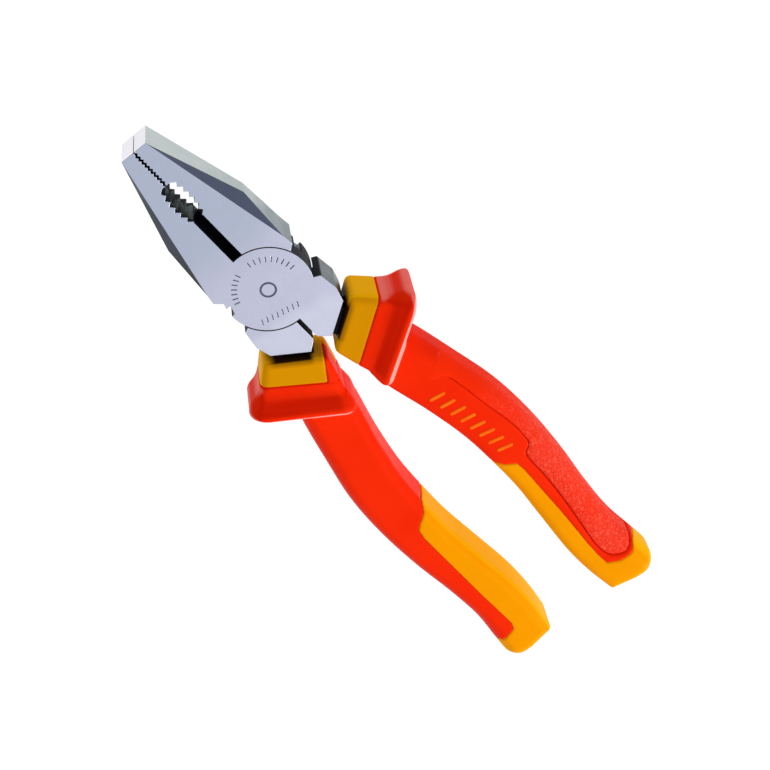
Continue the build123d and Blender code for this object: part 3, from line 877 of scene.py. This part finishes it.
SKY_FRONT = (0.30, 0.32, 0.36, 1.0)     # over the jaws
SKY_BACK = (1.10, 1.12, 1.16, 1.0)      # behind the handles
SKY_BACK_TOWARD = (0.05, -0.75, 0.66)
SKY_BLEND = (-0.3, 0.8)                 # from front to back, as a cosine
LIGHTS = [("high_back", (0.30, -0.70, 0.95), 0.5, 3.0),      # name, place, size, watts
          ("low_back", (0.30, -0.95, 0.22), 0.35, 4.0)]
LIGHT_TARGET = (0.0, -0.05, 0.0)
FLOOR_HALF = 12.0
FLOOR_COLOUR = (0.12, 0.12, 0.12, 1.0)
FLOOR_GLOW = 0.97


def make_camera():
    data = bpy.data.cameras.new("camera")
    data.lens, data.sensor_width = CAMERA_LENS, CAMERA_SENSOR
    data.clip_start, data.clip_end = CAMERA_CLIP
    camera = bpy.data.objects.new("camera", data)
    turn = Matrix((CAMERA_RIGHT, CAMERA_UP, CAMERA_BACK)).transposed().to_4x4()
    camera.matrix_world = Matrix.Translation(CAMERA_PLACE) @ turn
    bpy.context.scene.collection.objects.link(camera)
    bpy.context.scene.camera = camera


def make_world():
    """A pale sky, brighter behind the handles than over the jaws."""
    world = bpy.data.worlds.new("world")
    bpy.context.scene.world = world
    world.use_nodes = True
    tree = world.node_tree
    tree.nodes.clear()
    coords = tree.nodes.new("ShaderNodeTexCoord")
    toward = tree.nodes.new("ShaderNodeVectorMath")
    toward.operation = "DOT_PRODUCT"
    toward.inputs[1].default_value = Vector(SKY_BACK_TOWARD).normalized()
    tree.links.new(coords.outputs["Generated"], toward.inputs[0])
    share = tree.nodes.new("ShaderNodeMapRange")
    share.interpolation_type = "SMOOTHSTEP"
    share.inputs["From Min"].default_value, share.inputs["From Max"].default_value = SKY_BLEND
    tree.links.new(toward.outputs["Value"], share.inputs["Value"])
    mix = tree.nodes.new("ShaderNodeMix")
    mix.data_type = "RGBA"
    mix.inputs[6].default_value = SKY_FRONT
    mix.inputs[7].default_value = SKY_BACK
    tree.links.new(share.outputs["Result"], mix.inputs[0])
    background = tree.nodes.new("ShaderNodeBackground")
    tree.links.new(mix.outputs[2], background.inputs["Color"])
    out = tree.nodes.new("ShaderNodeOutputWorld")
    tree.links.new(background.outputs[0], out.inputs["Surface"])


def add_light(name, place, size, energy):
    data = bpy.data.lights.new(name, "AREA")
    data.shape = "DISK"
    data.size, data.energy = size, energy
    light = bpy.data.objects.new(name, data)
    light.location = place
    aim = Vector(LIGHT_TARGET) - Vector(place)
    light.rotation_mode = "QUATERNION"
    light.rotation_quaternion = aim.to_track_quat("-Z", "Y")
    bpy.context.scene.collection.objects.link(light)


def make_floor(level):
    """A plain pale sheet that also glows, so that shadows on it stay faint."""
    half = FLOOR_HALF
    mesh = bpy.data.meshes.new("floor")
    mesh.from_pydata([(-half, -half, level), (half, -half, level), (half, half, level),
                      (-half, half, level)], [], [(0, 1, 2, 3)])
    material = bpy.data.materials.new("floor_white")
    material.use_nodes = True
    shader = material.node_tree.nodes["Principled BSDF"]
    for key, value in (("Base Color", FLOOR_COLOUR), ("Roughness", 0.9),
                       ("Specular IOR Level", 0.0), ("Emission Color", (1.0, 1.0, 1.0, 1.0)),
                       ("Emission Strength", FLOOR_GLOW)):
        shader.inputs[key].default_value = value
    mesh.materials.append(material)
    floor = bpy.data.objects.new("floor", mesh)
    bpy.context.scene.collection.objects.link(floor)


# ---- the pliers -----------------------------------------------------------------------------
def paint(node, material):
    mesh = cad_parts[node].data
    mesh.materials.clear()
    mesh.materials.append(material)


def make_steel():
    for node in ("upper_lever", "lower_lever", "pivot_rivet"):
        paint(node, steel_material(f"{node}_steel"))


def make_grips():
    plastics = {"sleeve": ("yellow_sleeve", yellow_material()),
                "grip": ("red_grip", red_material()),
                "pad": ("red_pad", pad_material()),
                "bars": ("orange_bars", bar_material())}
    plan, fields = grip_fields()
    meshes = {part: meshed(plan, field) for part, field in fields.items()}
    meshes["bars"] = bar_meshes()
    for part, (corners, faces) in meshes.items():
        slot_name, material = plastics[part]
        for side, placed in (("right", corners), ("left", other_lever(corners))):
            add_piece(f"{side}_{part}_skin", placed, faces, f"{side}_lever_body",
                      f"{side}_{part}", material)


def main():
    make_steel()
    make_grips()
    make_floor(cad_box[0].z)
    make_world()
    for light in LIGHTS:
        add_light(*light)
    make_camera()
    bpy.context.scene.view_settings.view_transform = "Standard"


main()
